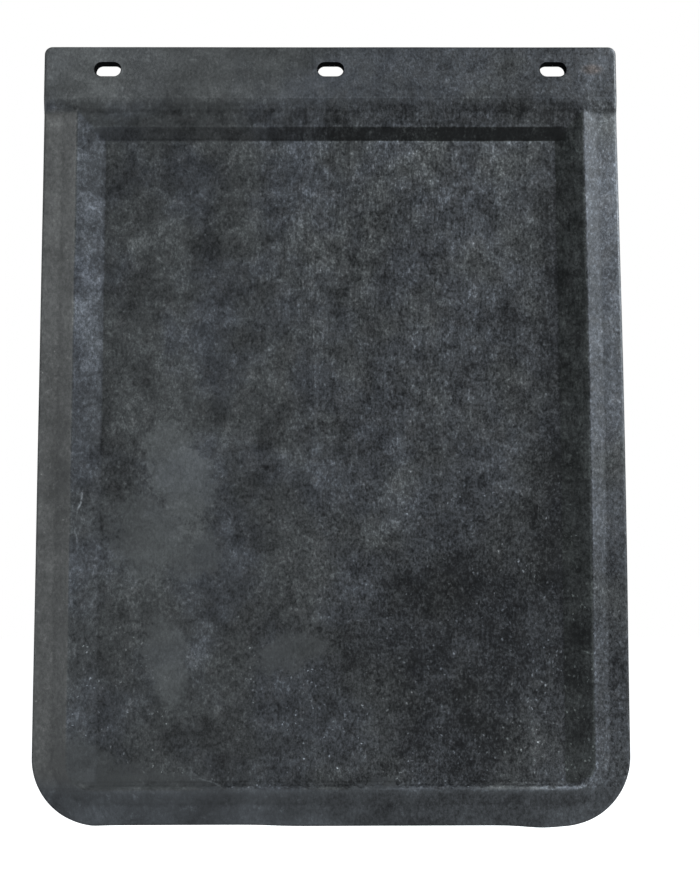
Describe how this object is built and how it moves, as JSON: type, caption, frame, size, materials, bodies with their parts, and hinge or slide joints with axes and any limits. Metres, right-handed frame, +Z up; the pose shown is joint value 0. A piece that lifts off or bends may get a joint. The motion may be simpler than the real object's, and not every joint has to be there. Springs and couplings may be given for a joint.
{
  "type": "mud flap",
  "caption": "Moulded rubber mud flap for a truck or trailer, with a slotted bolting strip along the top and a recessed panel inside a low raised ridge.",
  "frame": {"origin": "centre of the middle bolt slot, on the flat back face", "axes": "+Z up, towards the bolting strip's top edge; +X to the right seen from the recessed front; -Y out of the recessed front"},
  "size_m": [0.4572, 0.0095, 0.6097],
  "materials": {
    "rubber": "moulded black rubber with a dull grey bloom"
  },
  "bodies": {
    "header": {"header_strip": "rubber"},
    "band_1": {"flex_band_1": "rubber"},
    "band_2": {"flex_band_2": "rubber"},
    "band_3": {"flex_band_3": "rubber"},
    "band_4": {"flex_band_4": "rubber"},
    "band_5": {"flex_band_5": "rubber"},
    "band_6": {"flex_band_6": "rubber"},
    "band_7": {"flex_band_7": "rubber"},
    "band_8": {"flex_band_8": "rubber"},
    "band_9": {"flex_band_9": "rubber"},
    "band_10": {"flex_band_10": "rubber"},
    "band_11": {"flex_band_11": "rubber"},
    "band_12": {"flex_band_12": "rubber"},
    "band_13": {"flex_band_13": "rubber"},
    "band_14": {"flex_band_14": "rubber"},
    "band_15": {"flex_band_15": "rubber"},
    "band_16": {"flex_band_16": "rubber"}
  },
  "joints": [
    {"name": "flex_1", "type": "hinge", "parent": "header", "child": "band_1", "pos_m": [0, -0.0022, -0.03895], "axis": [1, 0, 0], "range_deg": [-10, 10], "stiffness_Nm_per_rad": 1.2},
    {"name": "flex_2", "type": "hinge", "parent": "band_1", "child": "band_2", "pos_m": [0, -0.0022, -0.07343], "axis": [1, 0, 0], "range_deg": [-10, 10], "stiffness_Nm_per_rad": 1.2},
    {"name": "flex_3", "type": "hinge", "parent": "band_2", "child": "band_3", "pos_m": [0, -0.0022, -0.1079], "axis": [1, 0, 0], "range_deg": [-10, 10], "stiffness_Nm_per_rad": 1.2},
    {"name": "flex_4", "type": "hinge", "parent": "band_3", "child": "band_4", "pos_m": [0, -0.0022, -0.14238], "axis": [1, 0, 0], "range_deg": [-10, 10], "stiffness_Nm_per_rad": 1.2},
    {"name": "flex_5", "type": "hinge", "parent": "band_4", "child": "band_5", "pos_m": [0, -0.0022, -0.17685], "axis": [1, 0, 0], "range_deg": [-10, 10], "stiffness_Nm_per_rad": 1.2},
    {"name": "flex_6", "type": "hinge", "parent": "band_5", "child": "band_6", "pos_m": [0, -0.0022, -0.21133], "axis": [1, 0, 0], "range_deg": [-10, 10], "stiffness_Nm_per_rad": 1.2},
    {"name": "flex_7", "type": "hinge", "parent": "band_6", "child": "band_7", "pos_m": [0, -0.0022, -0.2458], "axis": [1, 0, 0], "range_deg": [-10, 10], "stiffness_Nm_per_rad": 1.2},
    {"name": "flex_8", "type": "hinge", "parent": "band_7", "child": "band_8", "pos_m": [0, -0.0022, -0.28027], "axis": [1, 0, 0], "range_deg": [-10, 10], "stiffness_Nm_per_rad": 1.2},
    {"name": "flex_9", "type": "hinge", "parent": "band_8", "child": "band_9", "pos_m": [0, -0.0022, -0.31475], "axis": [1, 0, 0], "range_deg": [-10, 10], "stiffness_Nm_per_rad": 1.2},
    {"name": "flex_10", "type": "hinge", "parent": "band_9", "child": "band_10", "pos_m": [0, -0.0022, -0.34923], "axis": [1, 0, 0], "range_deg": [-10, 10], "stiffness_Nm_per_rad": 1.2},
    {"name": "flex_11", "type": "hinge", "parent": "band_10", "child": "band_11", "pos_m": [0, -0.0022, -0.3837], "axis": [1, 0, 0], "range_deg": [-10, 10], "stiffness_Nm_per_rad": 1.2},
    {"name": "flex_12", "type": "hinge", "parent": "band_11", "child": "band_12", "pos_m": [0, -0.0022, -0.41818], "axis": [1, 0, 0], "range_deg": [-10, 10], "stiffness_Nm_per_rad": 1.2},
    {"name": "flex_13", "type": "hinge", "parent": "band_12", "child": "band_13", "pos_m": [0, -0.0022, -0.45265], "axis": [1, 0, 0], "range_deg": [-10, 10], "stiffness_Nm_per_rad": 1.2},
    {"name": "flex_14", "type": "hinge", "parent": "band_13", "child": "band_14", "pos_m": [0, -0.0022, -0.48712], "axis": [1, 0, 0], "range_deg": [-10, 10], "stiffness_Nm_per_rad": 1.2},
    {"name": "flex_15", "type": "hinge", "parent": "band_14", "child": "band_15", "pos_m": [0, -0.0022, -0.5216], "axis": [1, 0, 0], "range_deg": [-10, 10], "stiffness_Nm_per_rad": 1.2},
    {"name": "flex_16", "type": "hinge", "parent": "band_15", "child": "band_16", "pos_m": [0, -0.0022, -0.55607], "axis": [1, 0, 0], "range_deg": [-10, 10], "stiffness_Nm_per_rad": 1.2}
  ]
}
